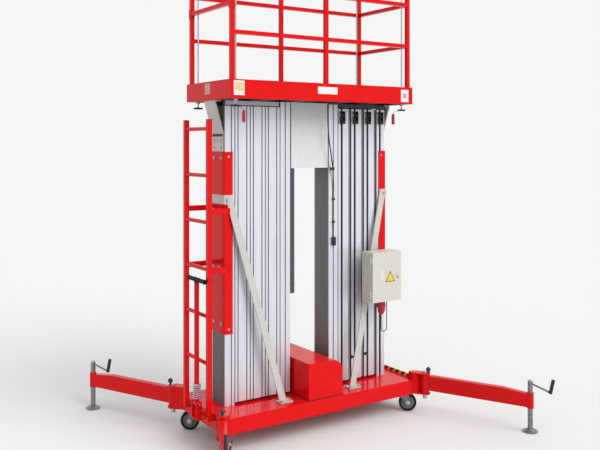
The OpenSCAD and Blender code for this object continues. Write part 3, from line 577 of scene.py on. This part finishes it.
# %%
# Cap nuts on the jacks
for c in CORNERS:
    bolts("jack_nut_" + c, [((posts[c].x, posts[c].y, 0.320), (0, 0, 1))], 0.018, "jack_" + c, zinc)

# %%
# The coil and the end caps of the tow handle, the caps of the ladder
HANDLE = (-0.802, -0.061)
coil = [Vector((HANDLE[0] + 0.0212 * math.cos(a), HANDLE[1] + 0.0212 * math.sin(a), 0.294 + 0.078 * a / (12 * math.pi)))
        for a in [2 * math.pi * i / 24 for i in range(145)]]
swept("handle_spring", coil, 0.0034, "tow_handle", zinc, 10)
lathe("spring_collar", [turned((*HANDLE, 0.374), (0, 0, 1), [(0, 0.0215), (0.002, 0.0235), (0.010, 0.0235),
                                                             (0.012, 0.0215)])], "tow_handle", zinc, 32)
lathe("grip_flanges", [turned((HANDLE[0], HANDLE[1] + s * y, 1.010), (0, s, 0), [(0, 0.0150), (0.004, 0.0150)])
                       for s in (-1, 1) for y in (0.018, 0.106)], "tow_handle", black, 24)
boxes("ladder_caps", [((-0.782, s * 0.157 - 0.014, 1.970), (-0.754, s * 0.157 + 0.014, 1.974)) for s in (-1, 1)],
      "chassis", black, 0.0015)

# %% [markdown]
# ## Control box
# The box stays plain: a blank yellow sign with a black edge, a pale strip beside it and screws in
# the corners. The sign is two thin triangular plates, the smaller one in front.

# %%
# Blank sign, strip and latch on the door
def triangle(name, middle, low, wide, high, front, thick, material):
    pts = [(middle - wide / 2, low), (middle + wide / 2, low), (middle, low + high)]
    verts = [(x, y, z) for y in (front, front - thick) for x, z in pts]
    return keep(name, verts, [(0, 2, 1), (3, 4, 5), (0, 1, 4, 3), (1, 2, 5, 4), (2, 0, 3, 5)],
                "control_box_door", material, 0.0003)


DOOR = -0.275
triangle("sign_edge", 0.522, 0.904, 0.084, 0.073, DOOR, 0.0006, black)
triangle("sign_face", 0.522, 0.9085, 0.0685, 0.0595, DOOR - 0.0006, 0.0004, yellow)
boxes("door_strip", [((0.440, DOOR - 0.0008, 0.920), (0.466, DOOR, 0.982))], "control_box_door", grey, 0.0003)
lathe("door_latch_ring", [turned((0.591, DOOR, 0.939), (0, -1, 0), [(0, 0.015), (0.002, 0.015), (0.003, 0.013)])],
      "control_box_door", cream, 32)
screws("box_screws", [((x, z_y[0], z_y[1]), (-1, 0, 0)) for x in (0.374,) for z_y in
                      ((-0.175, 0.79), (-0.175, 1.09), (-0.240, 0.79), (-0.240, 1.09))], 0.0035, "chassis", zinc)

# %% [markdown]
# ## Platform
# The floor has a raised tread of small lozenges in two directions. Blank plates mark the band,
# and a short wire at two corners carries the red tag of the locking pin.

# %%
# Tread on the floor
FLOOR = 2.124
verts, faces = [], []
rows, columns, step = 16, 42, 0.0315
for i in range(columns):
    for j in range(rows):
        x = (i - (columns - 1) / 2) * step
        y = (j - (rows - 1) / 2) * step
        a = math.radians(45 if (i + j) % 2 else -45)
        along, aside = Vector((math.cos(a), math.sin(a), 0)), Vector((-math.sin(a), math.cos(a), 0))
        base = len(verts)
        for long, wide, z in ((0.012, 0.0045, 0.0), (0.0095, 0.0022, 0.0012)):
            verts += [Vector((x, y, FLOOR + z)) + along * p + aside * q
                      for p, q in ((long, 0), (0, wide), (-long, 0), (0, -wide))]
        faces += [(base + n, base + (n + 1) % 4, base + 4 + (n + 1) % 4, base + 4 + n) for n in range(4)]
        faces += [(base + 4, base + 5, base + 6, base + 7), (base + 3, base + 2, base + 1, base)]
keep("floor_tread", verts, faces, "platform", dark)
print(rows * columns, "lozenges")

# %%
# Blank plates on the band
BAND_Y, BAND_X = -0.295, -0.700
boxes("plates_front", [((-0.676, BAND_Y - 0.0008, 2.114), (-0.604, BAND_Y, 2.200)),
                       ((-0.078, BAND_Y - 0.0008, 2.140), (0.072, BAND_Y, 2.185)),
                       ((0.599, BAND_Y - 0.0008, 2.108), (0.664, BAND_Y, 2.190))], "platform", plate, 0.0002)
boxes("plate_side", [((BAND_X - 0.0008, -0.036, 2.130), (BAND_X, 0.035, 2.198))], "platform", rose, 0.0002)
boxes("plate_amber", [((-0.668, BAND_Y - 0.0012, 2.140), (-0.612, BAND_Y - 0.0006, 2.192))], "platform", amber, 0.0002)
boxes("plate_rose", [((0.617, BAND_Y - 0.0012, 2.132), (0.646, BAND_Y - 0.0006, 2.166))], "platform", rose, 0.0002)

# %%
# Beams under the floor, over the mast heads; the right pair is dark as painted shade under the deck, the left pair
# takes the mast finish
for side, turn in SIDES.items():
    boxes("head_beams_" + side, [((turn * 0.235, y - 0.020, 2.0660), (turn * 0.618, y + 0.020, 2.0938))
                                 for y in (-0.062, 0.062)], "platform", dark if turn > 0 else alu, 0.0015)
# The dark strip down the inner edge of the left mast
boxes("track_edge", [((-0.1490, -0.0785, 0.862), (-0.1140, -0.0305, 1.669))], "platform", dark, 0.001)

# %%
# Collars, wires and red tags of the locking rods
ROD = (0.640, 0.2515)
lathe("rod_collars", [turned((sx * ROD[0], sy * ROD[1], 2.0935), (0, 0, -1), [(0, 0.013), (0.009, 0.013), (0.011, 0.011)])
                      for sx in (-1, 1) for sy in (-1, 1)], "platform", zinc, 24)
for side, turn, tag in (("left", -1, -0.585), ("right", 1, 0.567)):
    wire = curve_through([(turn * (ROD[0] - 0.029), -0.2515, 2.054), (turn * (ROD[0] - 0.036), -0.2515, 2.046),
                          (tag - turn * -0.006, -0.2515, 2.040), (tag, -0.2515, 2.026)])
    swept(f"tag_wire_{side}", wire, 0.0012, "platform", black, 8)
    lathe(f"tag_{side}", [turned((tag, -0.2515, 2.028), (0, 0, -1), [(0, 0.005), (0.006, 0.010), (0.066, 0.011),
                                                                     (0.072, 0.007)])], "platform", red_plastic, 20)
boxes("post_caps", [((x * 0.675 - 0.0104, s * 0.270 - 0.0104, 3.304), (x * 0.675 + 0.0104, s * 0.270 + 0.0104, 3.3102))
                    for x in (-1, 0, 1) for s in (-1, 1)], "platform", black, 0.0006)

# %%
# Buttons on the upper control box
PANEL = 0.5725
lathe("stop_button", [turned((PANEL, 0.0, 3.225), (-1, 0, 0), [(0, 0.012), (0.012, 0.012), (0.013, 0.019), (0.022, 0.019),
                                                               (0.026, 0.013)])], "platform", red_plastic, 32)
lathe("stop_ring", [turned((PANEL, 0.0, 3.225), (-1, 0, 0), [(0, 0.027), (0.002, 0.027)])], "platform", black, 32)
boxes("button_panel", [((PANEL - 0.0015, -0.062, 3.090), (PANEL, 0.062, 3.185))], "platform", black, 0.0008)
lathe("green_buttons", [turned((PANEL - 0.001, y, 3.150), (-1, 0, 0), [(0, 0.012), (0.007, 0.012), (0.009, 0.009)])
                        for y in (-0.032, 0.032)], "platform", green, 28)
lathe("button_rings", [turned((PANEL - 0.001, y, 3.150), (-1, 0, 0), [(0, 0.015), (0.003, 0.015)])
                       for y in (-0.032, 0.032)], "platform", zinc, 28)
lathe("key_switch", [turned((PANEL - 0.001, 0.0, 3.112), (-1, 0, 0), [(0, 0.010), (0.006, 0.010), (0.007, 0.008)])],
      "platform", zinc, 24)
screws("carriage_screws", [((x, -0.086, z), (0, -1, 0)) for x in (-0.130, 0.130) for z in (1.685, 1.880, 2.075)],
       0.0035, "platform", zinc)

# %% [markdown]
# ## Floor and light
# A pale floor runs out of view under an even white surround. One broad sun from the front right
# gives the front faces their brightness. The floor's tone is chosen so that it meets the surround
# at the same brightness, which hides the horizon.

# %%
# Floor, surround and one broad sun
SURROUND = 0.92
SUN = 2.2
SUN_HEIGHT = math.radians(40)
floor_tone = SURROUND / (SURROUND + SUN * math.sin(SUN_HEIGHT) / math.pi)
floor_mesh = bpy.data.meshes.new("floor")
floor_mesh.from_pydata([(-60, -60, 0), (60, -60, 0), (60, 60, 0), (-60, 60, 0)], [], [(0, 1, 2, 3)])
floor = bpy.data.objects.new("floor", floor_mesh)
bpy.context.scene.collection.objects.link(floor)
floor_mesh.materials.append(surface("pale_floor", ((floor_tone,) * 3, (floor_tone,) * 3), (0.9, 0.95), grain=3,
                                    bump=0.0, glow=0.0))
light = bpy.data.lights.new("key", "SUN")
light.energy, light.angle = SUN, math.radians(40)
key = bpy.data.objects.new("key", light)
key.rotation_euler = Vector((-0.262, 0.720, -0.643)).to_track_quat("-Z", "Y").to_euler()
bpy.context.scene.collection.objects.link(key)
world = bpy.data.worlds.new("surround")
bpy.context.scene.world = world
world.use_nodes = True
world.node_tree.nodes["Background"].inputs["Color"].default_value = (1, 1, 1, 1)
world.node_tree.nodes["Background"].inputs["Strength"].default_value = SURROUND
